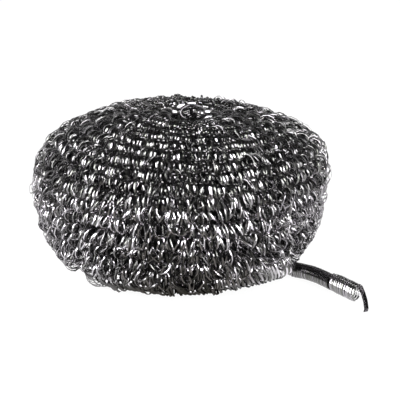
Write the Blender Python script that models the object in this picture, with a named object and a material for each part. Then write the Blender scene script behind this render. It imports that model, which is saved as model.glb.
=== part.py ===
# Metal scourer: one long spring of flat wire, wound round and round into a bun, its end left out as a tail.
# Metres, +Z up. The origin is the middle of the underside, which rests on z = 0. The tail lies towards +X and -Y.

import math
import random

import bmesh
import bpy
import numpy as np
from mathutils import Vector
from mathutils.geometry import delaunay_2d_cdt

# Outline of the bun, a turned shape that the rows of spring fill out to their crests
BUN_RADIUS = 0.0500
BUN_HEIGHT = 0.0550
WAIST_HEIGHT = 0.0340  # where the bun is widest
CROWN_RADIUS = 0.0110  # the top is nearly level as far as this
CROWN_FULLNESS = 1.90  # superellipse exponent of the shoulder above the waist
BASE_RADIUS = 0.0240  # the underside is level as far as this
BASE_FULLNESS = 2.50  # superellipse exponent of the flank below the waist
CROWN_DIP = 0.0022  # how far the middle of the top sinks
CROWN_DIP_RADIUS = 0.0150
SWELL = 0.0009  # slow unevenness of a hand-wound bun, always inwards from the outline
SHOULDER_BULGE = 0.0021  # the shoulder is fuller than the outline on the +X side
SHOULDER_BULGE_PLACE = 0.0490  # its middle, along the outline from the middle of the top
SHOULDER_BULGE_SPREAD = 0.0085

# Rows of spring, wound as one spiral from the eye in the top to the pad in the underside
ROW_PITCH = 0.0049
ROW_DEPTH = 0.0029  # from the crest of a row down to the groove beside it
ROW_WANDER = 0.0004  # sideways wander of a row
LOOP_SPACING = 0.0033  # from one raised loop of wire to the next, along a row
LOOP_DEPTH = (0.0010, 0.0015)  # how far a row sinks between two loops, at the crown and at the floor
LOOP_LEAN = 0.0008  # how far along the row a loop's foot lies from its crest
LOOP_UNEVENNESS = (0.0002, 0.0007)  # at the crown and at the floor, where the winding is looser

# Eye where the winding starts: a small standing ring of wire with a pit in it
EYE_OFFSET = 0.0044  # the eye sits off the bun's axis, towards +X
EYE_RADIUS = 0.0046
EYE_CREST_RADIUS = 0.0031
EYE_RISE = 0.0008  # how far the ring stands above the rows round it
EYE_PIT_RADIUS = 0.0019
EYE_PIT_DEPTH = 0.0055
EYE_LOOPS = 14

# Pad where the winding ends, pressed level under the bun
PAD_RADIUS = 0.0065
PAD_SIDES = 20

# Tail: the spring's last stretch, still wound tight, lying on the surface that the bun stands on
TAIL_DIAMETER = 0.0052
TAIL_TIGHT_PITCH = 0.0009  # from turn to turn near the bun
TAIL_LOOSE_PITCH = 0.0012  # from turn to turn towards the free end
TAIL_TIGHT_DEPTH = 0.0002  # of the grooves between turns near the bun
TAIL_LOOSE_DEPTH = 0.0004
TAIL_SIDES = 10
TAIL_WALL = 0.0008
TAIL_BORE_DEPTH = 0.0100
TAIL_ROOT_ANGLE = -21.3  # degrees round the bun from +X
TAIL_ROOT_RADIUS = 0.0317  # where the tail leaves the bun, measured from the bun's axis
TAIL_DROP = 0.0050  # the tail comes down by this out of the bun
TAIL_DROP_LENGTH = 0.0100
TAIL_HEADING = (-4.0, -58.0)  # degrees from +X, at the root and at the free end
TAIL_BEND_SHARE = 0.57  # of the length, taken up by the bend. The rest is straight
TAIL_LENGTH = 0.0400
TAIL_STEP_SHARE = 0.62  # of the length, where the turns open out and stand proud of the tight ones
TAIL_STEP = 0.0002

# Free end of the wire, a flat strip that leaves the last turn and comes down to rest
WIRE_WIDTH = 0.0009
WIRE_THICKNESS = 0.0003
WIRE_REACH = 0.0075  # forwards from the tail's open end

STEEL = (0.42, 0.42, 0.43, 1.0)
STEEL_ROUGHNESS = 0.28
SEED = 7
PROFILE_STEPS = 400


def clear_scene():
    for obj in list(bpy.data.objects):
        bpy.data.objects.remove(obj, do_unlink=True)


def new_collection(name):
    collection = bpy.data.collections.new(name)
    bpy.context.scene.collection.children.link(collection)
    return collection


def steel_material():
    material = bpy.data.materials.new("stainless_wire")
    material.use_nodes = True
    shader = material.node_tree.nodes["Principled BSDF"]
    shader.inputs["Base Color"].default_value = STEEL
    shader.inputs["Metallic"].default_value = 1.0
    shader.inputs["Roughness"].default_value = STEEL_ROUGHNESS
    return material


def quarter_superellipse(inner, outer, rise, fullness):
    """Radius and height, from the level edge at inner to the waist at outer, rise away from it."""
    turn = np.linspace(math.pi / 2, 0, PROFILE_STEPS)
    radius = inner + (outer - inner) * np.cos(turn) ** (2 / fullness)
    height = rise * np.sin(turn) ** (2 / fullness)
    return radius, height


class BunOutline:
    """The turned outline, followed from the middle of the top, over the waist, to the middle of the underside."""

    def __init__(self):
        top_r, top_z = quarter_superellipse(
            CROWN_RADIUS, BUN_RADIUS, BUN_HEIGHT - WAIST_HEIGHT, CROWN_FULLNESS
        )
        low_r, low_z = quarter_superellipse(BASE_RADIUS, BUN_RADIUS, WAIST_HEIGHT, BASE_FULLNESS)
        level = np.linspace(0, 1, PROFILE_STEPS)
        self.crown_r = np.concatenate([CROWN_RADIUS * level[:-1], top_r])
        self.crown_z = WAIST_HEIGHT + np.concatenate([top_z[0] + 0 * level[:-1], top_z])
        base_r = BASE_RADIUS * level[::-1][1:]
        self.r = np.concatenate([self.crown_r, low_r[::-1][1:], base_r])
        self.z = np.concatenate([self.crown_z, WAIST_HEIGHT - low_z[::-1][1:], 0 * base_r])
        steps = np.hypot(np.diff(self.r), np.diff(self.z))
        self.s = np.concatenate([[0], np.cumsum(steps)])
        self.length = float(self.s[-1])
        self.waist_s = float(self.s[np.argmax(self.r)])
        inside = (self.r[1:] + self.r[:-1]) / 2
        self.log_spread = np.concatenate([[0], np.cumsum(steps / inside)])

    def radius(self, s):
        return float(np.interp(s, self.s, self.r))

    def height(self, s):
        return float(np.interp(s, self.s, self.z))

    def crown_height(self, across, radius):
        """The top's level at a distance across from the bun's axis, sunk by the dip round the eye."""
        dip = CROWN_DIP * 0.5 * (1 + math.cos(math.pi * min(radius / CROWN_DIP_RADIUS, 1)))
        return float(np.interp(across, self.crown_r, self.crown_z)) - dip

    def flat_radius(self, s):
        """Where s lands when the skin is spread out flat with every small shape kept, so that neighbours stay so."""
        return math.exp(float(np.interp(s, self.s, self.log_spread)))

    def shoulder_bulge(self, s, angle):
        """How far the skin stands out beyond the outline, on the +X side of the shoulder."""
        away = (s - SHOULDER_BULGE_PLACE) / SHOULDER_BULGE_SPREAD
        return SHOULDER_BULGE * math.exp(-away * away) * max(math.cos(angle), 0) ** 1.5

    def point(self, s, angle, depth):
        """A place on the bun: s along the outline, angle round it, depth in from the crests of the rows."""
        swell = SWELL * (0.5 + 0.3 * math.sin(2 * angle + 0.7) + 0.2 * math.sin(5 * angle + 90 * s))
        radius = self.radius(s)
        ahead, behind = s + 0.0005, s - 0.0005
        slope_r = self.radius(ahead) - self.radius(behind)
        slope_z = self.height(ahead) - self.height(behind)
        size = math.hypot(slope_r, slope_z) or 1.0
        level = self.height(s) < 1e-6  # the rows that the bun stands on are pressed level
        inwards = depth + (0 if level else swell) - self.shoulder_bulge(s, angle)
        if s < self.waist_s:
            shift = EYE_OFFSET * (1 - (radius / BUN_RADIUS) ** 2)
            x, y = radius * math.cos(angle) + shift, radius * math.sin(angle)
            across = math.hypot(x, y) or 1e-9
            share = (across + inwards * slope_z / size) / across
            height = self.crown_height(across, radius) - inwards * slope_r / size
            return Vector((x * share, y * share, height))
        radius += inwards * slope_z / size
        height = max(self.height(s), 0.0) - inwards * slope_r / size
        return Vector((radius * math.cos(angle), radius * math.sin(angle), height))


def eye_places(outline):
    """The pit and the standing ring of wire in the top, as (s, angle, depth)."""
    places = [(0.0, 0.0, EYE_PIT_DEPTH)]
    for k in range(EYE_LOOPS):
        angle = 2 * math.pi * k / EYE_LOOPS
        lap = EYE_RISE * 0.5 * (k % 2)
        places.append((EYE_PIT_RADIUS, angle, EYE_PIT_DEPTH))
        places.append((EYE_CREST_RADIUS, angle + math.pi / EYE_LOOPS, lap - EYE_RISE))
    return places


def row_places(outline, noise):
    """Crests, laps and grooves of the spring, along one spiral from the eye to the pad, as (s, angle, depth)."""
    places = []
    first = EYE_RADIUS + ROW_PITCH / 2
    last = outline.length - PAD_RADIUS - ROW_PITCH / 2
    s, angle, raised = first, 0.0, True
    while s < last:
        wander = ROW_WANDER * (math.sin(3 * angle + 40 * s) + 0.6 * math.sin(7.3 * angle))
        looseness = 1 - outline.height(s) / BUN_HEIGHT
        lap = LOOP_DEPTH[0] + (LOOP_DEPTH[1] - LOOP_DEPTH[0]) * looseness
        uneven = LOOP_UNEVENNESS[0] + (LOOP_UNEVENNESS[1] - LOOP_UNEVENNESS[0]) * looseness
        uneven = 0.0 if outline.height(s) < 1e-6 else noise.uniform(0, uneven)
        depth = uneven if raised else lap + uneven
        places.append((s + wander, angle, depth))
        if raised:
            lean = LOOP_LEAN / outline.radius(s)
            if s + ROW_PITCH / 2 < last:
                places.append((s + wander + ROW_PITCH / 2, angle + lean, ROW_DEPTH + uneven))
            if s < first + ROW_PITCH:
                places.append((s - ROW_PITCH / 2, angle - lean, ROW_DEPTH))
        turn = LOOP_SPACING / 2 / outline.radius(s)
        angle += turn
        s += ROW_PITCH * turn / (2 * math.pi)
        raised = not raised
    return places


def pad_places(outline):
    return [
        (outline.length - PAD_RADIUS, 2 * math.pi * k / PAD_SIDES, 0.0) for k in range(PAD_SIDES)
    ]


def wound_skin(name, collection):
    """The bun as one closed skin: its places are joined up flat, then lifted onto the outline."""
    outline = BunOutline()
    noise = random.Random(SEED)
    places = eye_places(outline) + row_places(outline, noise) + pad_places(outline)
    flat = []
    for s, angle, _ in places:
        spread = outline.flat_radius(s) if s > 0 else 0.0
        flat.append(Vector((spread * math.cos(angle), spread * math.sin(angle))))
    joined = delaunay_2d_cdt(flat, [], [], 0, 1e-9)
    faces, came_from = joined[2], joined[3]
    bm = bmesh.new()
    corners = [bm.verts.new(outline.point(*places[group[0]])) for group in came_from]
    for face in faces:
        bm.faces.new([corners[i] for i in face])
    rim = [edge for edge in bm.edges if edge.is_boundary]
    bmesh.ops.contextual_create(bm, geom=rim)
    bmesh.ops.recalc_face_normals(bm, faces=bm.faces)
    mesh = bpy.data.meshes.new(name)
    bm.to_mesh(mesh)
    bm.free()
    bun = bpy.data.objects.new(name, mesh)
    collection.objects.link(bun)
    return bun


def tail_route(length, start=0.0):
    """Centres of the tail's turns, two to a turn, each with its heading and its distance along the tail."""
    root = math.radians(TAIL_ROOT_ANGLE)
    across = TAIL_ROOT_RADIUS * Vector((math.cos(root), math.sin(root), 0))
    place = across + Vector((0, 0, TAIL_DIAMETER / 2))
    route, along = [], 0.0
    while along <= length:
        share = min(along / TAIL_LENGTH / TAIL_BEND_SHARE, 1)
        ease = share * share * (3 - 2 * share)
        heading = math.radians(TAIL_HEADING[0] + (TAIL_HEADING[1] - TAIL_HEADING[0]) * ease)
        if along >= start:
            left = 1 - min(along / TAIL_DROP_LENGTH, 1)
            drop = Vector((0, 0, TAIL_DROP * left * left * (3 - 2 * left)))
            route.append((place + drop, heading, along))
        tight = along < TAIL_STEP_SHARE * TAIL_LENGTH
        step = (TAIL_TIGHT_PITCH if tight else TAIL_LOOSE_PITCH) / 2
        place += step * Vector((math.cos(heading), math.sin(heading), 0))
        along += step
    return route


def tube(name, centres, radii, sides, collection):
    """A round bar through the centres, as a mesh with welded ends."""
    curve = bpy.data.curves.new(name, "CURVE")
    curve.dimensions = "3D"
    curve.use_fill_caps = True
    curve.bevel_mode = "OBJECT"
    ring = bpy.data.curves.new(name + "_section", "CURVE")
    ring_line = ring.splines.new("POLY")
    ring_line.points.add(sides - 1)
    for k, point in enumerate(ring_line.points):
        angle = 2 * math.pi * (k + 0.5) / sides
        point.co = (math.cos(angle), math.sin(angle), 0, 1)
    ring_line.use_cyclic_u = True
    section = bpy.data.objects.new(name + "_section", ring)
    curve.bevel_object = section
    line = curve.splines.new("POLY")
    line.points.add(len(centres) - 1)
    for point, centre, radius in zip(line.points, centres, radii):
        point.co = (*centre, 1)
        point.radius = radius
    return meshed(name, curve, section, collection)


def meshed(name, curve, section, collection):
    """The curve as a closed mesh object. The curve and its section are then removed."""
    shape = bpy.data.objects.new(name + "_curve", curve)
    collection.objects.link(shape)
    collection.objects.link(section)
    graph = bpy.context.evaluated_depsgraph_get()
    mesh = bpy.data.meshes.new_from_object(shape.evaluated_get(graph))
    bm = bmesh.new()
    bm.from_mesh(mesh)
    bmesh.ops.remove_doubles(bm, verts=bm.verts, dist=1e-6)
    bmesh.ops.recalc_face_normals(bm, faces=bm.faces)
    bm.to_mesh(mesh)
    bm.free()
    bpy.data.objects.remove(shape)
    bpy.data.objects.remove(section)
    solid = bpy.data.objects.new(name, mesh)
    collection.objects.link(solid)
    return solid


def tail_spring(collection):
    """The tight turns of the tail, each a ridge round it."""
    route = tail_route(TAIL_LENGTH)
    radii = []
    for k, (_, _, along) in enumerate(route):
        tight = along < TAIL_STEP_SHARE * TAIL_LENGTH
        crest = TAIL_DIAMETER / 2 - (TAIL_STEP if tight else 0)
        groove = TAIL_TIGHT_DEPTH if tight else TAIL_LOOSE_DEPTH
        radii.append(crest - groove * (k % 2))
    return tube("tail_spring", [place for place, _, _ in route], radii, TAIL_SIDES, collection)


def tail_bore(collection):
    """The hollow inside the tail's open end."""
    inside = tail_route(TAIL_LENGTH - TAIL_LOOSE_PITCH, TAIL_LENGTH - TAIL_BORE_DEPTH)
    outside = tail_route(TAIL_LENGTH + TAIL_LOOSE_PITCH)
    radius = TAIL_DIAMETER / 2 - TAIL_LOOSE_DEPTH - TAIL_WALL
    centres = [place for place, _, _ in inside[::2] + outside[-1:]]
    bore = tube("tail_bore", centres, [radius] * len(centres), TAIL_SIDES, collection)
    bore.hide_render = True
    bore.display_type = "WIRE"
    return bore


def loose_wire(collection):
    """The flat wire's free end, from the wall of the tail's last turn down to the surface."""
    end, heading, _ = tail_route(TAIL_LENGTH)[-1]
    forwards = Vector((math.cos(heading), math.sin(heading), 0))
    aside = Vector((-forwards.y, forwards.x, 0))
    up = Vector((0, 0, 1))
    wall = TAIL_DIAMETER / 2 - TAIL_LOOSE_DEPTH - TAIL_WALL / 2
    last = end + wall * aside - 1.25 * TAIL_LOOSE_PITCH * forwards
    fall = last.z - WIRE_WIDTH / 2 - WIRE_THICKNESS / 2
    route = [
        last,
        last + 0.22 * WIRE_REACH * forwards,
        last + 0.46 * WIRE_REACH * forwards - 0.16 * fall * up - 0.20 * wall * aside,
        last + 0.70 * WIRE_REACH * forwards - 0.48 * fall * up - 0.66 * wall * aside,
        last + 0.90 * WIRE_REACH * forwards - 0.84 * fall * up - 1.25 * wall * aside,
        last + 1.00 * WIRE_REACH * forwards - 1.00 * fall * up - 1.80 * wall * aside,
    ]
    curve = bpy.data.curves.new("loose_wire", "CURVE")
    curve.dimensions = "3D"
    curve.use_fill_caps = True
    curve.bevel_mode = "OBJECT"
    strip = bpy.data.curves.new("wire_section", "CURVE")
    corners = strip.splines.new("POLY")
    corners.points.add(3)
    half_width, half_thickness = WIRE_WIDTH / 2, WIRE_THICKNESS / 2
    signs = ((-1, -1), (1, -1), (1, 1), (-1, 1))
    for point, (across, through) in zip(corners.points, signs):
        point.co = (across * half_thickness, through * half_width, 0, 1)
    corners.use_cyclic_u = True
    section = bpy.data.objects.new("wire_section", strip)
    curve.bevel_object = section
    line = curve.splines.new("POLY")
    line.points.add(len(route) - 1)
    for point, place in zip(line.points, route):
        point.co = (*place, 1)
    return meshed("loose_wire", curve, section, collection)


def cut_or_join(target, other, operation):
    """Cuts other out of target, or joins it on, and keeps target's mesh as the result."""
    modifier = target.modifiers.new(operation.lower(), "BOOLEAN")
    modifier.operation = operation
    modifier.object = other
    graph = bpy.context.evaluated_depsgraph_get()
    mesh = bpy.data.meshes.new_from_object(target.evaluated_get(graph))
    target.modifiers.clear()
    target.data = mesh
    bpy.data.objects.remove(other)


def build():
    clear_scene()
    parts = new_collection("metal_scourer")
    helpers = new_collection("helpers")
    scourer = wound_skin("scourer", parts)
    tail = tail_spring(helpers)
    cut_or_join(tail, tail_bore(helpers), "DIFFERENCE")
    cut_or_join(tail, loose_wire(helpers), "UNION")
    cut_or_join(scourer, tail, "UNION")
    scourer.data.name = "scourer"
    scourer.data.materials.clear()
    scourer.data.materials.append(steel_material())
    bpy.data.collections.remove(helpers)


build()
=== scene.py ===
import math

import bpy
import numpy as np
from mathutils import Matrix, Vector


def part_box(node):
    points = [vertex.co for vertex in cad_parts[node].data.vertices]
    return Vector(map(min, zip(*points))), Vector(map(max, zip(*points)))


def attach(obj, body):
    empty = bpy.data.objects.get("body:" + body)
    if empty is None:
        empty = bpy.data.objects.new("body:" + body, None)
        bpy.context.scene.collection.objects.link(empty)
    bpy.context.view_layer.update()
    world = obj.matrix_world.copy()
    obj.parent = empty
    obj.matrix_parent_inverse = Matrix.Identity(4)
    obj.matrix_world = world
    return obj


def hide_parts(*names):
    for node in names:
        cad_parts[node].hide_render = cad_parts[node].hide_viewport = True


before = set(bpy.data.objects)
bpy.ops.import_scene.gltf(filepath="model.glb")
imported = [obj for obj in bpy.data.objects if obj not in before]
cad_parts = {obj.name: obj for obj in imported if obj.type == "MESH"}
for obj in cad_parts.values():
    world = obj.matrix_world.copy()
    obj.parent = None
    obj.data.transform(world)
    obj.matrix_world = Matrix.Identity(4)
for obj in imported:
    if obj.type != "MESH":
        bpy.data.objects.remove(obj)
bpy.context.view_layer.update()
low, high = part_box("scourer")
scene = bpy.context.scene
print("frame loaded")


# Camera, at the photograph's angle. The bun sits left of the middle, so the aim is a little off its axis
camera = {
    "distance": 0.600,
    "downwards": 17.0,      # degrees
    "lens": 159.6,
    "aim": (0.00677, -0.0012, 0.0235),
    "middle": (0.0, 0.0, 0.0275),
}


def makeCamera():
    data = bpy.data.cameras.new("camera")
    data.lens = camera["lens"]
    data.sensor_width = 36.0
    data.clip_start, data.clip_end = 0.01, 20.0
    shooter = bpy.data.objects.new("camera", data)
    scene.collection.objects.link(shooter)
    tilt = math.radians(camera["downwards"])
    back = Vector((0, -math.cos(tilt), math.sin(tilt)))
    shooter.location = Vector(camera["middle"]) + back * camera["distance"]
    shooter.rotation_euler = (Vector(camera["aim"]) - shooter.location).to_track_quat("-Z", "Y").to_euler()
    scene.camera = shooter


makeCamera()
print("camera placed")


# The bun's outline, turned round the vertical axis. Its width and height are the frame's
bun = {
    "radius": -low.x + 0.0006,    # the frame's rows are a little uneven, always inwards
    "height": high.z + 0.0002,
    "waistHeight": 0.0340,
    "crownRadius": 0.0110,
    "crownFullness": 1.90,
    "baseRadius": 0.0240,
    "baseFullness": 2.50,
    "crownDip": 0.0022,
    "crownDipRadius": 0.0150,
    "eyeOffset": 0.0044,          # the eye sits right of the middle
    "eyeRadius": 0.0046,
    "rowPitch": 0.0049,
    "rowStep": 0.0010,            # from one point of a row's path to the next
    "rowWander": 0.0004,
    "shoulderBulge": 0.0021,      # the shoulder is fuller on the right
    "shoulderBulgePlace": 0.0490,
    "shoulderBulgeSpread": 0.0085,
}


def quarterOutline(inner, outer, rise, fullness):
    turn = np.linspace(math.pi / 2, 0, 400)
    return inner + (outer - inner) * np.cos(turn) ** (2 / fullness), rise * np.sin(turn) ** (2 / fullness)


def outlineTable():
    # distance along the outline from the middle of the crown, with the radius and height there
    waist, crown, base = bun["waistHeight"], bun["crownRadius"], bun["baseRadius"]
    topR, topZ = quarterOutline(crown, bun["radius"], bun["height"] - waist, bun["crownFullness"])
    lowR, lowZ = quarterOutline(base, bun["radius"], waist, bun["baseFullness"])
    level = np.linspace(0, 1, 60)[:-1]
    r = np.concatenate([crown * level, topR, lowR[::-1][1:], base * (1 - level[1:])])
    z = np.concatenate([topZ[0] + 0 * level, topZ, -lowZ[::-1][1:], -waist + 0 * level[1:]]) + waist
    s = np.concatenate([[0], np.cumsum(np.hypot(np.diff(r), np.diff(z)))])
    return s, r, z


outlineS, outlineR, outlineZ = outlineTable()
waistS = float(outlineS[np.argmax(outlineR)])
endS = float(outlineS[-1])


def bunSurface(s, angle, depth):
    # places on the bun, depth in from its outline, with the way out at each
    near = 0.0004
    r, z = np.interp(s, outlineS, outlineR), np.interp(s, outlineS, outlineZ)
    dr = np.interp(s + near, outlineS, outlineR) - np.interp(s - near, outlineS, outlineR)
    dz = np.interp(s + near, outlineS, outlineZ) - np.interp(s - near, outlineS, outlineZ)
    size = np.maximum(np.hypot(dr, dz), 1e-9)
    outR, outZ = -dz / size, dr / size
    upper = s < waistS
    shift = np.where(upper, bun["eyeOffset"] * (1 - (r / bun["radius"]) ** 2), 0)
    x, y = r * np.cos(angle) + shift, r * np.sin(angle)
    across = np.maximum(np.hypot(x, y), 1e-9)
    dip = bun["crownDip"] * 0.5 * (1 + np.cos(np.pi * np.minimum(r / bun["crownDipRadius"], 1)))
    crown = np.interp(across, outlineR[outlineS <= waistS], outlineZ[outlineS <= waistS]) - dip
    out = np.stack([outR * x / across, outR * y / across, outZ], axis=1)
    places = np.stack([x, y, np.where(upper, crown, z)], axis=1)
    away = (s - bun["shoulderBulgePlace"]) / bun["shoulderBulgeSpread"]
    bulge = bun["shoulderBulge"] * np.exp(-away * away) * np.maximum(np.cos(angle), 0) ** 1.5
    return places - out * np.reshape(depth - bulge, (-1, 1)), out


def smoothRandom(along, wavelength, seed):
    # a smooth seeded random curve, mostly between -1 and 1
    knots = np.random.default_rng(seed).uniform(-1, 1, int(along[-1] / wavelength) + 4)
    at = along / wavelength
    k = at.astype(int)
    share = at - k
    ease = share * share * (3 - 2 * share)
    return knots[k] * (1 - ease) + knots[k + 1] * ease


def rowPath(fromS, toS, depth, offset):
    # the spiral that the rows follow, from one distance along the outline to another
    pitch, step = bun["rowPitch"], bun["rowStep"]
    start = bun["eyeRadius"] + pitch / 2
    s, angles = fromS, []
    turn = 2 * math.pi * (fromS - start) / pitch
    while s < toS:
        angles.append(turn)
        turn += step / max(float(np.interp(s, outlineS, outlineR)), 0.003)
        s = start + pitch * turn / (2 * math.pi)
    angles = np.array(angles)
    s = start + pitch * angles / (2 * math.pi)
    # even at the crown, loosest just above the floor and even again underneath
    loose = np.interp(s, [0, 0.030, waistS, 0.094, 0.101], [0.0, 0.05, 0.55, 0.9, 0.1])
    stray = bun["rowWander"] * (1 + 1.5 * loose)
    walked = np.arange(len(angles)) * step
    s = s + offset + stray * (smoothRandom(walked, 0.011, 5) + 0.6 * smoothRandom(walked, 0.0045, 6))
    depth = depth + stray * (smoothRandom(walked, 0.009, 7) + 0.5) * 0.7
    places, out = bunSurface(np.clip(s, 0.0005, endS - 0.0005), angles, depth)
    x, y = places[:, 0] / bun["radius"], places[:, 1] / bun["radius"]
    return {"places": places, "outwards": out, "looseness": loose, "lean": loose * x * np.tanh(3 * y)}


def spaceTurns(path, pitch, unevenness, steps, seed):
    # the path again, with a point for each step of a turn. Turns bunch together here and gape there
    along = np.concatenate([[0], np.cumsum(np.linalg.norm(np.diff(path["places"], axis=0), axis=1))])
    bunching = smoothRandom(along, 0.0060, seed) + 0.6 * smoothRandom(along, 0.0024, seed + 1)
    turns = np.concatenate([[0], np.cumsum(np.diff(along) / (pitch * np.exp(unevenness * bunching[1:])))])
    even = np.arange(0, turns[-1], 1 / steps)
    spaced = {"turns": even}
    for name, values in path.items():
        columns = values.reshape(len(turns), -1).T
        spaced[name] = np.stack([np.interp(even, turns, column) for column in columns], axis=1)
    return spaced


# Node helpers
def addNode(tree, kind, **values):
    node = tree.nodes.new(kind)
    for name, value in values.items():
        setattr(node, name, value)
    return node


def feed(tree, socket, value):
    if isinstance(value, bpy.types.NodeSocket):
        tree.links.new(value, socket)
    else:
        socket.default_value = value


def calculate(tree, operation, *values):
    node = addNode(tree, "ShaderNodeMath", operation=operation)
    for socket, value in zip(node.inputs, values):
        feed(tree, socket, value)
    return node.outputs[0]


def vectorWork(tree, operation, *values, scale=None):
    node = addNode(tree, "ShaderNodeVectorMath", operation=operation)
    for socket, value in zip(node.inputs, values):
        feed(tree, socket, value)
    if scale is not None:
        feed(tree, node.inputs["Scale"], scale)
    return node.outputs["Value" if operation == "DOT_PRODUCT" else "Vector"]


def splitUp(tree, vector):
    node = addNode(tree, "ShaderNodeSeparateXYZ")
    feed(tree, node.inputs[0], vector)
    return node.outputs


def putTogether(tree, *values):
    node = addNode(tree, "ShaderNodeCombineXYZ")
    for socket, value in zip(node.inputs, values):
        feed(tree, socket, value)
    return node.outputs[0]


def waver(tree, along, frequency, seed):
    # three smooth random values along the wire, each about nought
    node = addNode(tree, "ShaderNodeTexNoise", noise_dimensions="1D")
    node.inputs["Scale"].default_value = frequency
    node.inputs["Detail"].default_value = 1.0
    feed(tree, node.inputs["W"], calculate(tree, "ADD", along, seed))
    return vectorWork(tree, "SUBTRACT", node.outputs["Color"], (0.5, 0.5, 0.5))


def fade(tree, value, low, high, atLow, atHigh):
    node = addNode(tree, "ShaderNodeMapRange", interpolation_type="SMOOTHSTEP")
    feed(tree, node.inputs["Value"], value)
    for label, number in (("From Min", low), ("From Max", high), ("To Min", atLow), ("To Max", atHigh)):
        feed(tree, node.inputs[label], number)
    return node.outputs["Result"]


def namedField(tree, name, kind):
    node = addNode(tree, "GeometryNodeInputNamedAttribute", data_type=kind)
    node.inputs["Name"].default_value = name
    return node.outputs["Attribute"]


def capture(tree, geometry, kind, value):
    node = addNode(tree, "GeometryNodeCaptureAttribute")
    node.capture_items.new(kind, "Kept")
    tree.links.new(geometry, node.inputs["Geometry"])
    tree.links.new(value, node.inputs["Kept"])
    return node.outputs["Geometry"], node.outputs["Kept"]


def newTree(name, inputs):
    tree = bpy.data.node_groups.new(name, "GeometryNodeTree")
    tree.interface.new_socket("Geometry", in_out="INPUT", socket_type="NodeSocketGeometry")
    for label, kind in inputs:
        tree.interface.new_socket(label, in_out="INPUT", socket_type="NodeSocket" + kind)
    tree.interface.new_socket("Geometry", in_out="OUTPUT", socket_type="NodeSocketGeometry")
    given = addNode(tree, "NodeGroupInput").outputs
    toCurve = addNode(tree, "GeometryNodeMeshToCurve")
    tree.links.new(given["Geometry"], toCurve.inputs["Mesh"])
    return tree, given, toCurve.outputs["Curve"]


wireInputs = [("Wire Width", "Float"), ("Wire Thickness", "Float"), ("Material", "Material")]


def finishWire(tree, path, flat, given):
    # sweeps the flat section along the path, and keeps each point's place along and across the wire,
    # with half the wire's width
    link = tree.links.new
    length = addNode(tree, "GeometryNodeSplineParameter").outputs["Length"]
    path, along = capture(tree, path, "FLOAT", length)
    turnFlat = addNode(tree, "GeometryNodeSetCurveNormal", mode="FREE")
    link(path, turnFlat.inputs["Curve"])
    link(flat, turnFlat.inputs["Normal"])
    section = addNode(tree, "GeometryNodeCurvePrimitiveQuadrilateral")
    link(given["Wire Thickness"], section.inputs["Width"])
    link(given["Wire Width"], section.inputs["Height"])
    position = addNode(tree, "GeometryNodeInputPosition").outputs[0]
    profile, corner = capture(tree, section.outputs["Curve"], "VECTOR", position)
    sweep = addNode(tree, "GeometryNodeCurveToMesh")
    sweep.inputs["Fill Caps"].default_value = True
    link(turnFlat.outputs["Curve"], sweep.inputs["Curve"])
    link(profile, sweep.inputs["Profile Curve"])
    corner = splitUp(tree, corner)
    store = addNode(tree, "GeometryNodeStoreNamedAttribute", data_type="FLOAT_VECTOR")
    store.inputs["Name"].default_value = "wireLie"
    link(sweep.outputs["Mesh"], store.inputs["Geometry"])
    halfWidth = calculate(tree, "MULTIPLY", given["Wire Width"], 0.5)
    link(putTogether(tree, along, corner["Y"], halfWidth), store.inputs["Value"])
    whole = addNode(tree, "GeometryNodeRealizeInstances")
    link(store.outputs["Geometry"], whole.inputs["Geometry"])
    paint = addNode(tree, "GeometryNodeSetMaterial")
    link(whole.outputs["Geometry"], paint.inputs["Geometry"])
    link(given["Material"], paint.inputs["Material"])
    link(paint.outputs["Geometry"], addNode(tree, "NodeGroupOutput").inputs["Geometry"])


def ribbonTree():
    # flat wire laid along the path that comes in, its flat side outwards
    tree, given, path = newTree("plain wire", wireInputs)
    finishWire(tree, path, namedField(tree, "outwards", "FLOAT_VECTOR"), given)
    return tree


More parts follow.
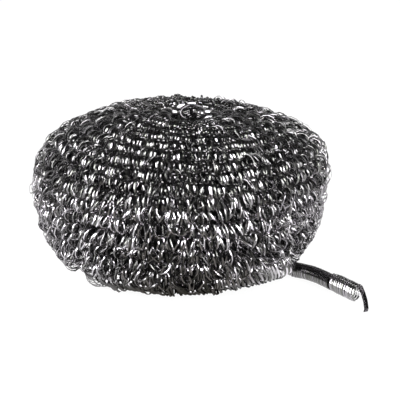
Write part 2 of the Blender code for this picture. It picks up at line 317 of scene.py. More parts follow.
def coilTree():
    # the same wire coiled round the path that comes in
    tree, given, path = newTree("coiled wire", wireInputs + [
        ("Turn Radius", "Float"), ("Loose Turn Radius", "Float"), ("Radius Variation", "Float"),
        ("Height Share", "Float"), ("Lean", "Float"), ("Own Share", "Float"), ("Lower Lean", "Float"),
        ("Lower Tilt", "Float"), ("Wobble", "Float"), ("Twist", "Float"), ("Twist with Lean", "Float"),
        ("Seed", "Int"),
    ])

    def times(first, second):
        return calculate(tree, "MULTIPLY", first, second)

    def plus(first, second):
        return calculate(tree, "ADD", first, second)

    def scaled(vector, factor):
        return vectorWork(tree, "SCALE", vector, scale=factor)

    def added(first, second):
        return vectorWork(tree, "ADD", first, second)

    out = vectorWork(tree, "NORMALIZE", namedField(tree, "outwards", "FLOAT_VECTOR"))
    loose = namedField(tree, "looseness", "FLOAT")
    turns = namedField(tree, "turns", "FLOAT")
    along = addNode(tree, "GeometryNodeInputTangent").outputs[0]
    side = vectorWork(tree, "CROSS_PRODUCT", along, out)
    seed = times(given["Seed"], 37.1)
    unruly = plus(times(loose, 0.8), 0.3)

    # a few turns together lean one way and the next few another, more so lower down
    fast = scaled(waver(tree, turns, 0.83, plus(seed, 3.3)), given["Own Share"])
    own = splitUp(tree, added(waver(tree, turns, 0.24, seed), fast))
    amount = times(given["Lean"], unruly)
    lean = namedField(tree, "lean", "FLOAT")
    sideways = plus(times(own["X"], amount), times(given["Lower Lean"], lean))
    outwards = plus(times(own["Y"], amount), times(given["Lower Tilt"], lean))
    axis = added(added(along, scaled(side, sideways)), scaled(out, outwards))
    axis = vectorWork(tree, "NORMALIZE", axis)
    overAxis = scaled(axis, vectorWork(tree, "DOT_PRODUCT", out, axis))
    up = vectorWork(tree, "NORMALIZE", vectorWork(tree, "SUBTRACT", out, overAxis))
    across = vectorWork(tree, "CROSS_PRODUCT", axis, up)

    # each turn has its own size and shape, a little flattened against the bun
    angle = times(turns, 2 * math.pi)
    outPart, sidePart = calculate(tree, "COSINE", angle), calculate(tree, "SINE", angle)
    ring = added(scaled(up, times(outPart, given["Height Share"])), scaled(across, sidePart))
    radius = addNode(tree, "ShaderNodeMix", data_type="FLOAT")
    feed(tree, radius.inputs["Factor"], loose)
    feed(tree, radius.inputs["A"], given["Turn Radius"])
    feed(tree, radius.inputs["B"], given["Loose Turn Radius"])
    size = times(radius.outputs[0], plus(1.0, times(own["Z"], given["Radius Variation"])))
    bend = waver(tree, turns, 1.7, plus(seed, 11.3))
    offset = added(scaled(ring, size), scaled(bend, times(given["Wobble"], unruly)))

    # the flat side looks out from the coil, and turns with the lean
    slowTwist = splitUp(tree, waver(tree, turns, 0.27, plus(seed, 5.1)))["X"]
    fastTwist = splitUp(tree, waver(tree, turns, 1.6, plus(seed, 8.7)))["X"]
    twist = times(plus(slowTwist, times(fastTwist, given["Own Share"])), times(given["Twist"], unruly))
    twist = calculate(tree, "SUBTRACT", twist, times(sideways, given["Twist with Lean"]))
    facing = added(scaled(up, outPart), scaled(across, times(sidePart, given["Height Share"])))
    flat = vectorWork(tree, "NORMALIZE", added(facing, scaled(axis, twist)))

    path, flat = capture(tree, path, "VECTOR", flat)
    place = addNode(tree, "GeometryNodeSetPosition")
    tree.links.new(path, place.inputs["Geometry"])
    tree.links.new(offset, place.inputs["Offset"])

    # nothing goes below the surface that the bun stands on
    settled = addNode(tree, "GeometryNodeSetPosition")
    tree.links.new(place.outputs["Geometry"], settled.inputs["Geometry"])
    where = splitUp(tree, addNode(tree, "GeometryNodeInputPosition").outputs[0])
    floorGap = times(given["Wire Width"], 0.5)
    raised = putTogether(tree, where["X"], where["Y"], calculate(tree, "MAXIMUM", where["Z"], floorGap))
    tree.links.new(raised, settled.inputs["Position"])
    finishWire(tree, settled.outputs["Geometry"], flat, given)
    return tree


def makePiece(name, paths, tree, settings, material):
    # one mesh piece: the tree's wire along each of the paths
    counts = [len(path["places"]) for path in paths]
    starts = np.cumsum([0] + counts)
    pairs = [
        np.stack([np.arange(n - 1), np.arange(1, n)], axis=1) + first for n, first in zip(counts, starts)
    ]
    joined = {key: np.concatenate([path[key] for path in paths]).astype(np.float32) for key in paths[0]}
    mesh = bpy.data.meshes.new(name + "_path")
    mesh.vertices.add(int(starts[-1]))
    mesh.vertices.foreach_set("co", joined.pop("places").ravel())
    mesh.edges.add(int(starts[-1]) - len(paths))
    mesh.edges.foreach_set("vertices", np.concatenate(pairs).astype(np.int32).ravel())
    for key, values in joined.items():
        vector = values.ndim == 2 and values.shape[1] == 3
        attribute = mesh.attributes.new(key, "FLOAT_VECTOR" if vector else "FLOAT", "POINT")
        attribute.data.foreach_set("vector" if vector else "value", values.ravel())
    mesh.update()
    piece = bpy.data.objects.new(name, mesh)
    scene.collection.objects.link(piece)
    modifier = piece.modifiers.new("wire", "NODES")
    modifier.node_group = tree
    sockets = {item.name: item.identifier for item in tree.interface.items_tree if item.in_out == "INPUT"}
    for label, value in settings.items():
        modifier[sockets[label]] = value
    modifier[sockets["Material"]] = material
    settle(piece, mesh)


triangles = []    # of each piece


def settle(piece, path):
    # the evaluated tree becomes a plain mesh, and the piece stands in for the frame's solid
    made = bpy.data.meshes.new_from_object(piece.evaluated_get(bpy.context.evaluated_depsgraph_get()))
    piece.modifiers.clear()
    piece.data = made
    made.name = piece.name
    bpy.data.meshes.remove(path)
    for label in [a.name for a in made.attributes if a.name in ("outwards", "looseness", "turns", "lean")]:
        made.attributes.remove(made.attributes[label])
    made.shade_smooth()
    made.set_sharp_from_angle(angle=math.radians(50))
    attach(piece, "root")
    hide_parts("scourer")
    triangles.append(sum(len(p.vertices) - 2 for p in made.polygons))
    print(piece.name, triangles[-1], "triangles")


# Stainless wire
steel = {
    "bright": (1.03, 0.99, 1.05),    # the bright lengths are a little violet beside the duller, yellower ones: a painted tint of highlight and of shade
    "dull": (0.98, 1.0, 0.92),
    "roughness": (0.09, 0.22),
    "patchesPerMetre": 50.0,
    "patchEdge": (0.38, 0.64),       # levels of the noise where a bright length begins and is full
    "edgeSlope": 0.115,              # the flat sides are rolled a little convex
    "edgeSheenFrom": 0.72,                # of half the width, where the painted highlight along the edge begins
    "edgeSheenShare": 0.45,
    "drawnLines": 9000.0,            # a metre, across the wire
    "drawnBreaks": 700.0,            # a metre, along it
    "drawnDepth": 0.0000012,
    "drawnShade": 0.82,              # of the brightness, left in the deepest of them
    "drawnGloss": (0.05, -0.02),     # what they add to the roughness, from the deepest to the highest
}


def steelMaterial(name, dull, bright):
    material = bpy.data.materials.new(name)
    material.use_nodes = True
    tree = material.node_tree
    shader = tree.nodes["Principled BSDF"]
    shader.inputs["Metallic"].default_value = 1.0
    lie = addNode(tree, "ShaderNodeAttribute", attribute_name="wireLie").outputs["Vector"]
    along, across, halfWidth = splitUp(tree, lie)[:3]

    def times(first, second):
        return calculate(tree, "MULTIPLY", first, second)

    # lengths of brighter and duller wire: partly a random tone of the steel, partly painted glints that
    # break its highlights into short lengths
    patches = addNode(tree, "ShaderNodeTexNoise", noise_dimensions="1D")
    patches.inputs["Scale"].default_value = steel["patchesPerMetre"]
    patches.inputs["Detail"].default_value = 1.0
    tree.links.new(along, patches.inputs["W"])
    patch = patches.outputs["Fac"]
    # fine lines left along it by the rolling, which break off now and then
    lines = addNode(tree, "ShaderNodeTexNoise", noise_dimensions="2D")
    lines.inputs["Scale"].default_value = 1.0
    lines.inputs["Detail"].default_value = 2.0
    stretched = [times(along, steel["drawnBreaks"]), times(across, steel["drawnLines"]), 0.0]
    tree.links.new(putTogether(tree, *stretched), lines.inputs["Vector"])
    line = lines.outputs["Fac"]
    # edges painted bright: a painted highlight along each edge
    outwards = calculate(tree, "DIVIDE", calculate(tree, "ABSOLUTE", across), halfWidth)
    edgeSheen = fade(tree, outwards, steel["edgeSheenFrom"], 1.0, 0.0, steel["edgeSheenShare"])

    toneAndSheen = calculate(tree, "MAXIMUM", fade(tree, patch, *steel["patchEdge"], 0.0, 1.0), edgeSheen)
    colours = addNode(tree, "ShaderNodeMix", data_type="RGBA")
    feed(tree, colours.inputs[0], toneAndSheen)
    colours.inputs[6].default_value = (*(dull * part for part in steel["dull"]), 1)
    colours.inputs[7].default_value = (*(bright * part for part in steel["bright"]), 1)
    shade = addNode(tree, "ShaderNodeMix", data_type="RGBA", blend_type="MULTIPLY")
    shade.inputs[0].default_value = 1.0
    tree.links.new(colours.outputs[2], shade.inputs[6])
    darker = fade(tree, line, 0.25, 0.60, steel["drawnShade"], 1.0)
    tree.links.new(putTogether(tree, darker, darker, darker), shade.inputs[7])
    tree.links.new(shade.outputs[2], shader.inputs["Base Color"])

    gloss = fade(tree, toneAndSheen, 0.0, 1.0, steel["roughness"][1], steel["roughness"][0])
    roughness = calculate(tree, "ADD", gloss, fade(tree, line, 0.3, 0.7, *steel["drawnGloss"]))
    tree.links.new(roughness, shader.inputs["Roughness"])
    crown = calculate(tree, "DIVIDE", times(times(across, across), -0.5 * steel["edgeSlope"]), halfWidth)
    height = calculate(tree, "ADD", crown, times(line, steel["drawnDepth"]))
    bump = addNode(tree, "ShaderNodeBump")
    bump.inputs["Distance"].default_value = 1.0
    tree.links.new(height, bump.inputs["Height"])
    tree.links.new(bump.outputs["Normal"], shader.inputs["Normal"])
    return material


# Lit and shaded copies of one steel: how pale the dull and the bright lengths are in each part of the
# winding, painted lighter or darker for its light and shade
# painted highlight: the brightest copy, for the waist, the lead into the tail and the strips beside the eye
looseSteel = steelMaterial("looseWire", 0.18, 0.95)
flankSteel = steelMaterial("flankWire", 0.12, 0.72)
evenSteel = steelMaterial("evenWire", 0.24, 0.46)
# painted shade: a darker copy for the tail's tight turns and the eye coil
tightShadeSteel = steelMaterial("tightShadeWire", 0.20, 0.34)
# painted shade: near black, for the wire deep inside the bun, under its foot and inside the tail
innerShadeSteel = steelMaterial("innerShadeWire", 0.03, 0.14)
# painted shade: darker, for the lowest row at the bun's foot
lowShadeSteel = steelMaterial("lowShadeWire", 0.14, 0.42)
coiledWire = coilTree()
plainWire = ribbonTree()
print("steel and wire trees ready")


# Outer rows of the bun, in pieces from the crown down
windings = {"steps": 12, "depth": 0.0022, "upperVariation": 1.1}    # steps: points on each turn
windingForm = {
    "Turn Radius": 0.0027,
    "Loose Turn Radius": 0.0030,
    "Radius Variation": 0.7,
    "Height Share": 0.80,
    "Wire Thickness": 0.00009,
    "Lean": 4.2,
    "Own Share": 0.32,
    "Lower Lean": 1.2,
    "Lower Tilt": 0.5,
    "Wobble": 0.0018,
    "Twist": 2.6,
    "Twist with Lean": 0.6,
}
windingSpans = {
    # name: (from and to along the outline, spacing of the turns, unevenness, wire width, material)
    "crown_windings": (0.0118, 0.040, 0.00108, 0.35, 0.00062, evenSteel),
    "shoulder_windings": (0.040, 0.056, 0.00108, 0.45, 0.00060, evenSteel),
    "waist_windings": (0.056, 0.073, 0.00094, 0.55, 0.00043, looseSteel),
    "flank_windings": (0.073, 0.0895, 0.00098, 0.55, 0.00043, flankSteel),
    "base_windings": (0.100, endS - 0.004, 0.00120, 0.50, 0.00046, flankSteel),
}
# The first row, round the eye, is still wound tight
collar = {"from": 0.0064, "to": 0.0122, "depth": 0.0020, "pitch": 0.00066, "frontSink": 0.0009}
collarForm = {
    **windingForm, "Turn Radius": 0.0024, "Loose Turn Radius": 0.0024, "Radius Variation": 0.3, "Lean": 2.2,
    "Wobble": 0.0010, "Wire Width": 0.00048, "Seed": 51,
}
# A second layer under the rows, half a row across, which closes the view into the bun; its wire is painted
# near black as shade
under = {"pitch": 0.0014, "unevenness": 0.5, "steps": 10, "depth": 0.0052}
underForm = {**windingForm, "Turn Radius": 0.0029, "Loose Turn Radius": 0.0032, "Wire Width": 0.0006}
underSpans = {"upper_under_windings": (0.0020, 0.066), "lower_under_windings": (0.066, 0.124)}


def makeWindings():
    for number, (name, span) in enumerate(windingSpans.items()):
        fromS, toS, pitch, unevenness, width, material = span
        path = rowPath(fromS, toS, windings["depth"], 0.0)
        turned = spaceTurns(path, pitch, unevenness, windings["steps"], seed=40 + number)
        uneven = windings["upperVariation"] if toS < waistS else windingForm["Radius Variation"]
        form = {**windingForm, "Radius Variation": uneven, "Wire Width": width, "Seed": number + 1}
        makePiece(name, [turned], coiledWire, form, material)


def makeCollar():
    row = rowPath(collar["from"], collar["to"], collar["depth"], 0.0)
    inFront = np.maximum(-row["places"][:, 1] / np.linalg.norm(row["places"][:, :2], axis=1), 0)
    row["places"] -= row["outwards"] * np.reshape(collar["frontSink"] * inFront ** 2, (-1, 1))
    turned = spaceTurns(row, collar["pitch"], unevenness=0.15, steps=16, seed=71)
    makePiece("eye_collar", [turned], coiledWire, collarForm, evenSteel)


def makeUnderLayer():
    for number, (name, (fromS, toS)) in enumerate(underSpans.items()):
        path = rowPath(fromS, toS, under["depth"], bun["rowPitch"] / 2)
        turned = spaceTurns(path, under["pitch"], under["unevenness"], under["steps"], seed=60 + number)
        makePiece(name, [turned], coiledWire, {**underForm, "Seed": number + 11}, innerShadeSteel)


makeWindings()
makeCollar()
makeUnderLayer()
print("rows wound")


# Lowest row: broad leaning turns on the surface that the bun stands on
lowest = {
    "radius": 0.0317,
    "wander": 0.0004,
    "height": 0.0031,
    "pitch": 0.00125,
    "ends": (-385, -25),              # degrees
    # angle, reach and spread of the places where it swings out
    "lobes": ((-139, 0.0030, 12), (-22, 0.0040, 18)),
}
lowestForm = {
    **windingForm, "Turn Radius": 0.0032, "Loose Turn Radius": 0.0032, "Radius Variation": 0.5,
    "Height Share": 1.0, "Lean": 2.4, "Lower Lean": 0.9, "Lower Tilt": 0.0, "Wobble": 0.0009, "Twist": 2.2,
    "Twist with Lean": 0.0, "Wire Width": 0.00074, "Seed": 41,
}
# Upright turns behind it, painted near black as shade, which close the view under the bun
backing = {"inset": 0.0027, "height": 0.0025, "pitch": 0.0010}
backingForm = {
    **lowestForm, "Turn Radius": 0.0024, "Loose Turn Radius": 0.0024, "Lean": 0.8, "Wire Width": 0.0011,
    "Seed": 45,
}
# Over it, a stretch of broad and more even turns leads from the flank down into the tail
lead = {
    "degrees": (-69, -60, -50, -40, -32, -26),
    "radius": (0.0394, 0.0406, 0.0412, 0.0414, 0.0408, 0.0396),
    "height": (0.0088, 0.0087, 0.0086, 0.0080, 0.0072, 0.0064),
    "pitch": 0.00160,
}
leadForm = {
    **windingForm, "Turn Radius": 0.0036, "Loose Turn Radius": 0.0036, "Radius Variation": 0.25,
    "Height Share": 0.55, "Lean": 0.8, "Lower Lean": 0.5, "Lower Tilt": 0.0, "Wobble": 0.0005, "Twist": 1.6,
    "Twist with Lean": -0.8, "Wire Width": 0.00064, "Seed": 43,
}


def groundPath(angle, radius, height, lean):
    # a path round the bun's foot, which faces outwards and a little up
    cos, sin, count = np.cos(angle), np.sin(angle), len(angle)
    return {
        "places": np.stack([radius * cos, radius * sin, height], axis=1),
        "outwards": np.stack([cos, sin, np.full(count, 0.15)], axis=1),
        "looseness": np.full(count, 0.5),
        "lean": np.full(count, lean),
    }


def makeLowestRow():
    degrees = np.arange(*lowest["ends"], 1.5)
    angle = np.radians(degrees)
    radius = lowest["radius"] + lowest["wander"] * smoothRandom(angle - angle[0], 0.15, 8)
    for at, reach, spread in lowest["lobes"]:
        radius = radius + reach * np.exp(-((degrees - at) / spread) ** 2)
    path = groundPath(angle, radius, np.full(len(angle), lowest["height"]), lean=-1.0)
    turned = spaceTurns(path, lowest["pitch"], unevenness=0.4, steps=18, seed=9)
    makePiece("lowest_row", [turned], coiledWire, lowestForm, lowShadeSteel)
    path = groundPath(angle, radius - backing["inset"], np.full(len(angle), backing["height"]), lean=0.0)
    turned = spaceTurns(path, backing["pitch"], unevenness=0.2, steps=12, seed=12)
    makePiece("lowest_backing", [turned], coiledWire, backingForm, innerShadeSteel)


def makeLead():
    degrees = np.arange(lead["degrees"][0], lead["degrees"][-1], 1.0)
    radius = np.interp(degrees, lead["degrees"], lead["radius"])
    height = np.interp(degrees, lead["degrees"], lead["height"])
    path = groundPath(np.radians(degrees), radius, height, lean=-1.0)
    turned = spaceTurns(path, lead["pitch"], unevenness=0.12, steps=24, seed=10)
    makePiece("tail_lead", [turned], coiledWire, leadForm, looseSteel)


makeLowestRow()
makeLead()
print("lowest row wound")


# Eye: the coil's first turns stand up out of the crown, open end upwards and a little forwards
eye = {
    "top": (bun["eyeOffset"] + 0.0001, -0.0004, 0.0540),
    "forwardTilt": 23.0,    # degrees
    "turns": 10,
    "openTurns": 2.6,       # the first turns, which widen like a spiral
    "closeTurns": 4.0,      # the last ones, which close its bottom
    "radii": (0.0040, 0.0050, 0.0009),    # of the first turn, the widest and the last
    "unevenness": (0.025, 2.37),          # share of the radius, and waves a turn
    "pitch": 0.00062,
    "firstPitch": 0.25,     # of that, at the first turn
    "facing": (82, 22),     # degrees up, of the flat side, at the first turn and at the widest
    "sway": (10, 0.83),     # degrees about that, and waves a turn
    "wireWidth": 0.00040,
    # broad strips beside the ring: from and to in degrees, radius and lift
    "strips": (
        (192, 172, 0.0062, 0.0005),
        (162, 128, 0.0051, 0.0004),
        (112, 80, 0.0047, 0.0001),
        (11, -9, 0.0048, 0.0003),
        (-28, -50, 0.0066, 0.0009),
        (-98, -120, 0.0082, 0.0013),
    ),
    "stripBow": 0.03,       # of its length
    "stripFacing": (0.02, -0.42, 0.91),
    "stripWidth": 0.0014,
}


def makeEye():
    tilt = math.radians(eye["forwardTilt"])
    right, up = np.array([1.0, 0.0, 0.0]), np.array([0.0, -math.sin(tilt), math.cos(tilt)])
    back = np.cross(up, right)
    turns = np.linspace(0, eye["turns"], 36 * eye["turns"])
    opened = np.minimum(turns / eye["openTurns"], 1)
    closed = np.maximum((turns - eye["turns"]) / eye["closeTurns"] + 1, 0)
    angle = 2 * math.pi * turns
    first, widest, last = eye["radii"]
    radius = first + (widest - first) * opened + (last - widest) * closed
    amount, waves = eye["unevenness"]
    radius = radius * (1 + amount * np.sin(waves * angle))
    eased = eye["firstPitch"] + (1 - eye["firstPitch"]) * opened
    drop = eye["pitch"] * np.minimum(turns, eye["turns"] - eye["closeTurns"]) * eased
    radial = np.outer(np.cos(angle), right) + np.outer(np.sin(angle), back)
    places = np.array(eye["top"]) + radial * radius[:, None] - np.outer(drop, up)
    upright, level = eye["facing"]
    amount, waves = eye["sway"]
    lift = upright - (upright - level) * opened ** 3 * (1 - closed) + amount * np.sin(waves * angle)
    lift = np.radians(lift)[:, None]
    path = {"places": places, "outwards": radial * np.cos(lift) + up * np.sin(lift)}
    form = {"Wire Width": eye["wireWidth"], "Wire Thickness": windingForm["Wire Thickness"]}
    makePiece("eye_coil", [path], plainWire, form, tightShadeSteel)


def makeEyeStrips():
    # short broad lengths of wire beside the ring, which catch the light from overhead
    points = 16
    tilt = math.radians(eye["forwardTilt"])
    facing = np.array(eye["stripFacing"])
    paths = []
    for fromDegrees, toDegrees, radius, rise in eye["strips"]:
        angle = np.radians(np.linspace(fromDegrees, toDegrees, points))
        right, up = radius * np.cos(angle), radius * np.sin(angle)
        places = np.array(eye["top"]) + np.stack([right, up * math.cos(tilt), up * math.sin(tilt)], axis=1)
        bow = eye["stripBow"] * radius * math.radians(fromDegrees - toDegrees)
        places[:, 2] += rise + bow * np.sin(np.linspace(0, math.pi, points))
        tangents = np.gradient(places, axis=0)
        tangents /= np.linalg.norm(tangents, axis=1)[:, None]
        paths.append({"places": places, "outwards": facing - tangents * (tangents @ facing)[:, None]})
    form = {"Wire Width": eye["stripWidth"], "Wire Thickness": windingForm["Wire Thickness"]}
    makePiece("eye_strips", paths, plainWire, form, looseSteel)


makeEye()
makeEyeStrips()
print("eye made")


# Tail: the coil's last stretch. Its route is the frame's, and its step lies a little further out
tail = {
    "outerRadius": 0.0026,
    "rootAngle": -21.3,          # degrees
    "rootRadius": 0.0317,
    "heading": (-4.0, -58.0),    # degrees, at the root and at the free end
    "bendShare": 0.57,           # of the length, taken up by the bend
    "length": 0.0400,
    "drop": 0.0050,              # how far it comes down out of the bun, and over what length
    "dropLength": 0.0100,
    "tightPitch": 0.00084,
    "stepShare": 0.67,           # of the length, where the turns open out
    "stepGap": 0.012,            # of the length too
    "loosePitch": 0.00118,
    "looseLift": 0.0004,         # the open turns are larger
    "liningPitch": 0.0010,
    "liningShare": 0.88,
    "endWidth": 0.0015,
    "endThickness": 0.00012,
    "endFacing": (-0.40, -0.30, 0.86),
    # the free end: share of its length, then right, back and up from the middle of the last turn
    "endLine": (
        (0.0, 0.0004, 0.0020, 0.0024), (0.14, 0.0009, -0.0002, 0.0026), (0.35, 0.0014, -0.0034, 0.0018),
        (0.60, 0.0019, -0.0064, 0.0002), (0.85, 0.0020, -0.0092, -0.0014), (1.0, 0.0016, -0.0108, -0.0018),
    ),
}
tailForm = {
    "Radius Variation": 0.0, "Height Share": 1.0, "Wire Thickness": 0.00011, "Lean": 0.0, "Own Share": 0.0,
    "Lower Lean": 0.0, "Lower Tilt": 0.0, "Wobble": 0.0, "Twist": 0.0, "Twist with Lean": 0.0,
}
tightForm = {
    **tailForm, "Turn Radius": 0.00254, "Loose Turn Radius": 0.00254, "Wire Width": 0.00058, "Seed": 21,
    "Lean": 0.4, "Own Share": 0.7, "Radius Variation": 0.06,
}
openForm = {
    **tailForm, "Turn Radius": 0.00298, "Loose Turn Radius": 0.00298, "Wire Width": 0.00064, "Seed": 22,
    "Lean": 0.7, "Own Share": 0.6, "Wobble": 0.0004, "Twist": 0.8, "Radius Variation": 0.10,
    "Lower Lean": -0.44,
}
# Inside both, turns painted darker as shade, which close the view between them
liningForm = {
    **tailForm, "Turn Radius": 0.00222, "Loose Turn Radius": 0.00222, "Wire Width": 0.00086, "Seed": 23,
}


def tailRoute(fromShare, toShare, lift, lean=0.0):
    # the tail's middle line, from one share of its length to another
    root = math.radians(tail["rootAngle"])
    place = tail["rootRadius"] * np.array([math.cos(root), math.sin(root), 0.0])
    step, walked, places = 0.0002, 0.0, []
    while walked <= tail["length"] * toShare:
        share = min(walked / tail["length"] / tail["bendShare"], 1)
        ease = share * share * (3 - 2 * share)
        heading = math.radians(tail["heading"][0] + (tail["heading"][1] - tail["heading"][0]) * ease)
        if walked >= tail["length"] * fromShare:
            left = 1 - min(walked / tail["dropLength"], 1)
            places.append(place + np.array([0, 0, lift + tail["drop"] * left * left * (3 - 2 * left)]))
        place = place + step * np.array([math.cos(heading), math.sin(heading), 0.0])
        walked += step
    count = len(places)
    return {
        "places": np.array(places), "outwards": np.tile([0.0, 0.0, 1.0], (count, 1)),
        "looseness": np.zeros(count), "lean": np.full(count, lean),
    }


def makeTail():
    path = tailRoute(0, tail["stepShare"], tail["outerRadius"])
    turned = spaceTurns(path, tail["tightPitch"], unevenness=0.0, steps=30, seed=1)
    makePiece("tail_tight_turns", [turned], coiledWire, tightForm, tightShadeSteel)
    openFrom, lift = tail["stepShare"] + tail["stepGap"], tail["outerRadius"] + tail["looseLift"]
    path = tailRoute(openFrom, 1.0, lift, lean=1.0)
    turned = spaceTurns(path, tail["loosePitch"], unevenness=0.25, steps=30, seed=2)
    makePiece("tail_open_turns", [turned], coiledWire, openForm, evenSteel)
    path = tailRoute(0, tail["liningShare"], tail["outerRadius"])
    turned = spaceTurns(path, tail["liningPitch"], unevenness=0.0, steps=16, seed=3)
    makePiece("tail_lining", [turned], coiledWire, liningForm, innerShadeSteel)


def makeFreeEnd():
    # from the side of the last turn forwards and down to the surface
    last = tailRoute(0.9, 1.0, tail["outerRadius"])["places"][-1]
    share = np.linspace(0, 1, 30)
    line = np.array(tail["endLine"])
    places = np.stack([np.interp(share, line[:, 0], line[:, part]) for part in (1, 2, 3)], axis=1) + last
    places[:, 2] = np.maximum(places[:, 2], tail["endWidth"] / 2)
    tangents = np.gradient(places, axis=0)
    tangents /= np.linalg.norm(tangents, axis=1)[:, None]
    facing = np.array(tail["endFacing"])
    path = {"places": places, "outwards": facing - tangents * (tangents @ facing)[:, None]}
    form = {"Wire Width": tail["endWidth"], "Wire Thickness": tail["endThickness"]}
    makePiece("tail_free_end", [path], plainWire, form, evenSteel)


makeTail()
makeFreeEnd()
print("tail laid")


# Stray arcs of wire that have worked loose from the rows
strays = {
    "count": 40,
    "seed": 17,
    "span": (0.030, 0.100),  # along the outline
    "heading": (20, 160),    # degrees
    "length": (0.004, 0.009),
    "bend": (60, 200),       # degrees
    "lift": (0.0001, 0.0009),
    "tuck": 0.0016,          # how far the ends go back in
    "wireWidth": 0.00030,
    "floorGap": 0.0004,
    "points": 18,            # of each arc
    # those that the photograph shows: distance along the outline, angle, heading, length, bend, lift
    "seen": (
        (0.0697, -103.6, -5, 0.0078, -150, 0.0012),
        (0.0730, -99.6, 42, 0.0094, -30, 0.0012),
        (0.0637, -86.8, 24, 0.0056, -24, 0.0012),
        (0.0568, -70.4, 90, 0.0076, 30, 0.0014),
        (0.0664, -56.0, -112, 0.0066, -32, 0.0012),
        (0.0640, -41.6, -55, 0.0084, -20, 0.0012),
        (0.0652, -32.4, -141, 0.0052, -64, 0.0012),
        (0.0655, -47.6, -146, 0.0062, -30, 0.0012),
        (0.0745, -48.0, -150, 0.0078, -62, 0.0012),
        (0.0631, -171.6, 80, 0.0080, 300, 0.0012),
        (0.0565, -14.0, 100, 0.0100, 150, 0.0013),
        (0.0240, 64.0, 4, 0.0050, 10, 0.0010),
        (0.0242, 63.0, 14, 0.0048, 20, 0.0008),
        (0.0235, 65.0, -10, 0.0052, -20, 0.0006),
        (0.0225, 49.6, -6, 0.0064, -10, 0.0009),
        (0.0228, 51.0, 10, 0.0058, 10, 0.0007),
        (0.0220, 48.0, -16, 0.0060, -30, 0.0005),
        (0.0240, 41.2, 160, 0.0070, 60, 0.0010),
    ),
}


def strayArc(s, angle, heading, length, bend, lift):
    # heading is in degrees from along the row, towards the crown
    points = strays["points"]
    share = np.linspace(0, 1, points)
    way = np.radians(heading + bend * (share - 0.5))
    right = np.cumsum(np.cos(way)) * length / (points - 1)
    up = np.cumsum(np.sin(way)) * length / (points - 1)
    right, up = right - right[points // 2], up - up[points // 2]
    rise = (lift + strays["tuck"]) * np.sin(np.pi * share) ** 0.6 - strays["tuck"]
    radius = float(np.interp(s, outlineS, outlineR))
    places, out = bunSurface(np.clip(s - up, 0.001, endS - 0.001), angle + right / radius, -rise)
    places[:, 2] = np.maximum(places[:, 2], strays["floorGap"])
    return {"places": places, "outwards": out}


def makeStrays():
    pick = np.random.default_rng(strays["seed"])
    paths = []
    for _ in range(strays["count"]):
        s = pick.uniform(*strays["span"])
        bend = pick.uniform(*strays["bend"]) * pick.choice([-1, 1])
        angle, heading = pick.uniform(0, 2 * math.pi), pick.uniform(*strays["heading"])
        length, lift = pick.uniform(*strays["length"]), pick.uniform(*strays["lift"])
        paths.append(strayArc(s, angle, heading, length, bend, lift))
    for s, angle, heading, length, bend, lift in strays["seen"]:
        paths.append(strayArc(s, math.radians(angle), heading, length, bend, lift))
    form = {"Wire Width": strays["wireWidth"], "Wire Thickness": windingForm["Wire Thickness"]}
    makePiece("stray_wires", paths, plainWire, form, evenSteel)


makeStrays()
print("strays laid")


# Floor and light
studio = {
    "floorReach": 3.0,
    "floorColour": (0.62, 0.62, 0.62),
    "floorStrength": 1.14,
    "floorShare": 0.84,                      # of plain white, to the camera. The rest takes the shadow
    "mirrorShare": 0.90,                     # the same, in the wire
    "mirroredFrontShade": (0.130, 0.122, 0.100),    # painted shade: the floor in front of the object, dim and a little warm, as the wire mirrors it
    "frontWedge": 1.5,                       # how far that floor narrows towards the object
    "frontEdge": (-0.03, 0.02),
    "front": 0.02,                           # the room that faces the object, above the floor
    "behind": 0.35,                          # the pale backdrop, straight behind and to the sides
    "beside": 1.00,
    "besideFrom": (0.25, 0.80),
    "backdropTop": 0.14,
    "backdropFade": 0.3,                     # above that
    "backdropEnds": (-0.45, 0.25),           # where it begins and is full, from front to back
    "lampAim": (0.0, 0.0, 0.02),
    "lamps": {
        # name: (azimuth from the camera, elevation, distance, width, height, brightness)
        "leftFrontStrip": (-55, 24, 0.80, 0.36, 1.00, 7.6),
        "leftBackStrip": (-101, 14, 0.80, 0.34, 0.50, 6.0),
        "rightFrontStrip": (48, 25, 0.80, 0.29, 0.92, 8.8),
        "rightBackStrip": (98, 12, 0.80, 0.32, 0.40, 4.4),
        "topSoftbox": (170, 66, 0.80, 0.30, 0.16, 3.2),
    },
}


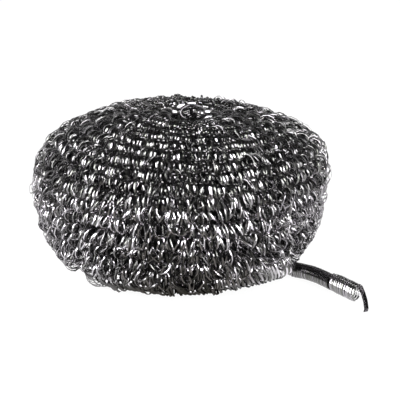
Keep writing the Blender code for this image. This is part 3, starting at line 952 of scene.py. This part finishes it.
def makeFloor():
    mesh = bpy.data.meshes.new("floor")
    reach = studio["floorReach"]
    corners = [(-reach, -reach, 0), (reach, -reach, 0), (reach, reach, 0), (-reach, reach, 0)]
    mesh.from_pydata(corners, [], [(0, 1, 2, 3)])
    floor = bpy.data.objects.new("floor", mesh)
    scene.collection.objects.link(floor)
    material = bpy.data.materials.new("paleFloor")
    material.use_nodes = True
    tree = material.node_tree
    shader = tree.nodes["Principled BSDF"]
    shader.inputs["Base Color"].default_value = (*studio["floorColour"], 1)
    shader.inputs["Roughness"].default_value = 0.7
    mesh.materials.append(material)
    # seen by the camera it is mostly plain white, with the object's shadow left in. The wire mirrors it as
    # pale beside the object and, with painted shade, as dim and a little warm in front
    seen = addNode(tree, "ShaderNodeLightPath").outputs
    place = splitUp(tree, addNode(tree, "ShaderNodeTexCoord").outputs["Object"])
    aside = calculate(tree, "MULTIPLY", calculate(tree, "ABSOLUTE", place["X"]), studio["frontWedge"])
    wedge = calculate(tree, "MULTIPLY", calculate(tree, "ADD", place["Y"], aside), -1.0)
    inFront = fade(tree, wedge, *studio["frontEdge"], 0.0, 1.0)
    mirrored = calculate(tree, "MAXIMUM", seen["Is Glossy Ray"], seen["Is Transmission Ray"])
    colour = addNode(tree, "ShaderNodeMix", data_type="RGBA")
    feed(tree, colour.inputs[0], calculate(tree, "MULTIPLY", mirrored, inFront))
    colour.inputs[6].default_value = (1, 1, 1, 1)
    colour.inputs[7].default_value = (*studio["mirroredFrontShade"], 1)
    white = addNode(tree, "ShaderNodeEmission")
    tree.links.new(colour.outputs[2], white.inputs["Color"])
    atCamera = calculate(tree, "MULTIPLY", seen["Is Camera Ray"], studio["floorStrength"])
    feed(tree, white.inputs["Strength"], calculate(tree, "MAXIMUM", atCamera, 1.0))
    cameraShare = calculate(tree, "MULTIPLY", seen["Is Camera Ray"], studio["floorShare"])
    mirrorShare = calculate(tree, "MULTIPLY", mirrored, studio["mirrorShare"])
    share = calculate(tree, "ADD", cameraShare, mirrorShare)
    mix = addNode(tree, "ShaderNodeMixShader")
    tree.links.new(share, mix.inputs[0])
    tree.links.new(shader.outputs[0], mix.inputs[1])
    tree.links.new(white.outputs[0], mix.inputs[2])
    tree.links.new(mix.outputs[0], tree.nodes["Material Output"].inputs["Surface"])


def makeWorld():
    world = bpy.data.worlds.new("studio")
    scene.world = world
    world.use_nodes = True
    tree = world.node_tree
    background = tree.nodes["Background"]
    # white behind and beside the object, dark in front and overhead. The camera sees white everywhere
    parts = splitUp(tree, addNode(tree, "ShaderNodeTexCoord").outputs["Generated"])
    back = fade(tree, parts["Y"], *studio["backdropEnds"], 0.0, 1.0)
    top = studio["backdropTop"]
    lowDown = fade(tree, parts["Z"], top, top + studio["backdropFade"], 1.0, 0.0)
    sideways = calculate(tree, "ABSOLUTE", parts["X"])
    height = fade(tree, sideways, *studio["besideFrom"], studio["behind"], studio["beside"])
    pale = calculate(tree, "MULTIPLY", calculate(tree, "MULTIPLY", back, lowDown), height)
    level = calculate(tree, "ADD", pale, studio["front"])
    seenDirectly = addNode(tree, "ShaderNodeLightPath").outputs["Is Camera Ray"]
    tree.links.new(calculate(tree, "MAXIMUM", level, seenDirectly), background.inputs["Strength"])
    background.inputs["Color"].default_value = (1, 1, 1, 1)


def makeLamps():
    for name, (azimuth, elevation, distance, width, height, brightness) in studio["lamps"].items():
        data = bpy.data.lights.new(name, "AREA")
        data.shape = "RECTANGLE"
        data.size, data.size_y = width, height
        data.energy = brightness * math.pi * width * height
        lamp = bpy.data.objects.new(name, data)
        scene.collection.objects.link(lamp)
        around, rise = math.radians(azimuth), math.radians(elevation)
        flatPart = math.cos(rise)
        towards = Vector((math.sin(around) * flatPart, -math.cos(around) * flatPart, math.sin(rise)))
        lamp.location = Vector(studio["lampAim"]) + towards * distance
        lamp.rotation_euler = (-towards).to_track_quat("-Z", "Y").to_euler()


makeFloor()
makeWorld()
makeLamps()
scene.view_settings.view_transform = "Standard"
print("studio lit")

print("triangles in all", sum(triangles))
